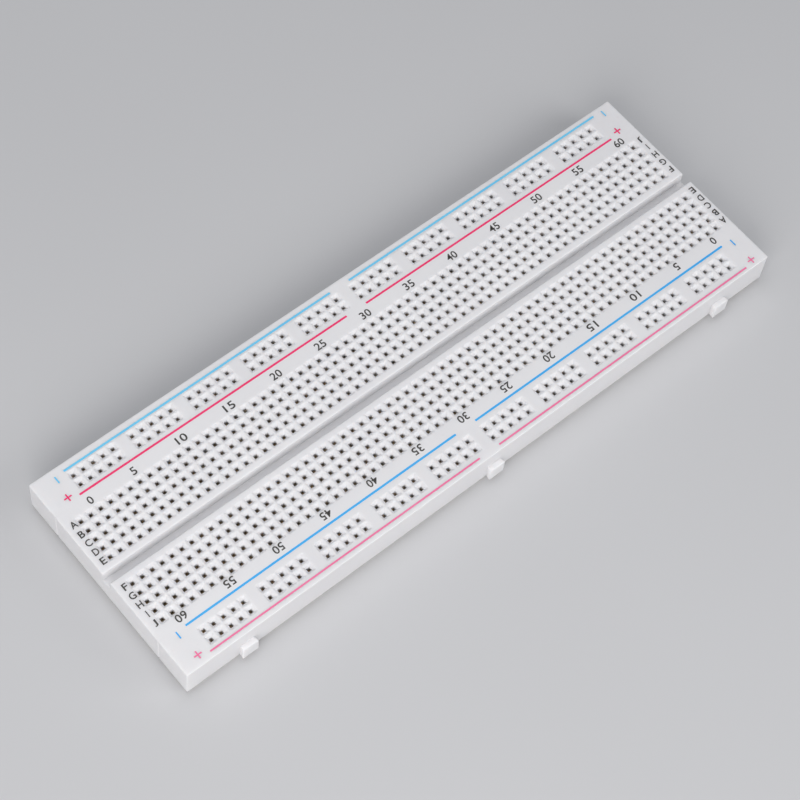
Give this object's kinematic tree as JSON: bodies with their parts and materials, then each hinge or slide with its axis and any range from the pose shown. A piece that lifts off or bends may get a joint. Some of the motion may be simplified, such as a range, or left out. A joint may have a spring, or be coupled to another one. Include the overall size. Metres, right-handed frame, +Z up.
{
  "type": "solderless breadboard",
  "caption": "Solderless breadboard: a terminal strip with a centre channel between power rails that key on with dovetail tabs, over sprung contact clips and adhesive foam backing",
  "frame": {"origin": "centre of the bounding box on the supporting surface, under the release liners", "axes": "+X along the columns of holes (the long way), +Y from the rail with free tabs (near rail) to the rail with free slots (far rail), +Z up through the top face"},
  "size_m": [0.165, 0.0556, 0.0097],
  "materials": {
    "white_abs": "satin white moulded ABS, slightly translucent at its edges",
    "contact_metal": "nickel-plated phosphor bronze spring strip",
    "foam": "closed-cell adhesive foam, off-white",
    "liner_paper": "silicone-coated release paper, pale"
  },
  "bodies": {
    "far_rail": {"far_rail_housing": "white_abs", "far_rail_foam_pad": "foam", "far_rail_liner": "liner_paper", "far_minus_bus_left": "contact_metal", "far_minus_bus_right": "contact_metal", "far_plus_bus_left": "contact_metal", "far_plus_bus_right": "contact_metal"},
    "main_strip": {"main_housing": "white_abs", "main_foam_pad": "foam", "main_liner": "liner_paper", "ae_clips_01_10": "contact_metal", "ae_clips_11_20": "contact_metal", "ae_clips_21_30": "contact_metal", "ae_clips_31_40": "contact_metal", "ae_clips_41_50": "contact_metal", "ae_clips_51_63": "contact_metal", "fj_clips_01_10": "contact_metal", "fj_clips_11_20": "contact_metal", "fj_clips_21_30": "contact_metal", "fj_clips_31_40": "contact_metal", "fj_clips_41_50": "contact_metal", "fj_clips_51_63": "contact_metal"},
    "near_rail": {"near_rail_housing": "white_abs", "near_rail_foam_pad": "foam", "near_rail_liner": "liner_paper", "near_minus_bus_left": "contact_metal", "near_minus_bus_right": "contact_metal", "near_plus_bus_left": "contact_metal", "near_plus_bus_right": "contact_metal"}
  },
  "joints": [
    {"name": "main_lift", "type": "slide", "parent": "far_rail", "child": "main_strip", "axis": [0, 0, 1], "range_m": [0, 0.01]},
    {"name": "near_lift", "type": "slide", "parent": "main_strip", "child": "near_rail", "axis": [0, 0, 1], "range_m": [0, 0.01]}
  ]
}
